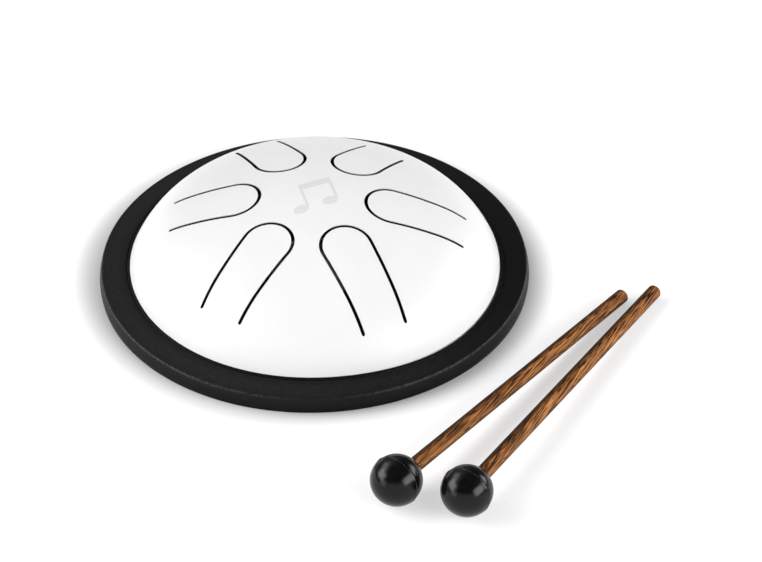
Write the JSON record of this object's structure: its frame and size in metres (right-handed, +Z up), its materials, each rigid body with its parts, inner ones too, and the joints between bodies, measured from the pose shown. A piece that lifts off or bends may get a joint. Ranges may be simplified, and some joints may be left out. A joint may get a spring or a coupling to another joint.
{
  "type": "steel tongue drum",
  "caption": "Small round steel tongue drum with U-cut tongues in a white dome, a black rubber rim ring to stand on, and rubber-headed wooden mallets.",
  "frame": {"origin": "on the drum's axis, in the plane of the ring's foot that the drum stands on", "axes": "+Z up along the drum's axis, +X to the right and +Y away from a player who has the mallets in front"},
  "size_m": [0.2345, 0.2532, 0.0431],
  "materials": {
    "white_steel": "satin white powder coat on pressed steel",
    "ring_rubber": "matt black moulded rubber",
    "stick_wood": "oiled brown hardwood with dark grain",
    "head_rubber": "semi-gloss black moulded rubber"
  },
  "bodies": {
    "drum": {"top_shell": "white_steel", "bottom_plate": "white_steel", "rim_ring": "ring_rubber"},
    "left_mallet": {"left_mallet_stick": "stick_wood", "left_mallet_head": "head_rubber"},
    "right_mallet": {"right_mallet_stick": "stick_wood", "right_mallet_head": "head_rubber"}
  },
  "joints": [
    {"name": "left_mallet_lift", "type": "slide", "parent": "drum", "child": "left_mallet", "axis": [0, 0, 1], "range_m": [0, 0.15]},
    {"name": "right_mallet_lift", "type": "slide", "parent": "drum", "child": "right_mallet", "axis": [0, 0, 1], "range_m": [0, 0.15]}
  ]
}
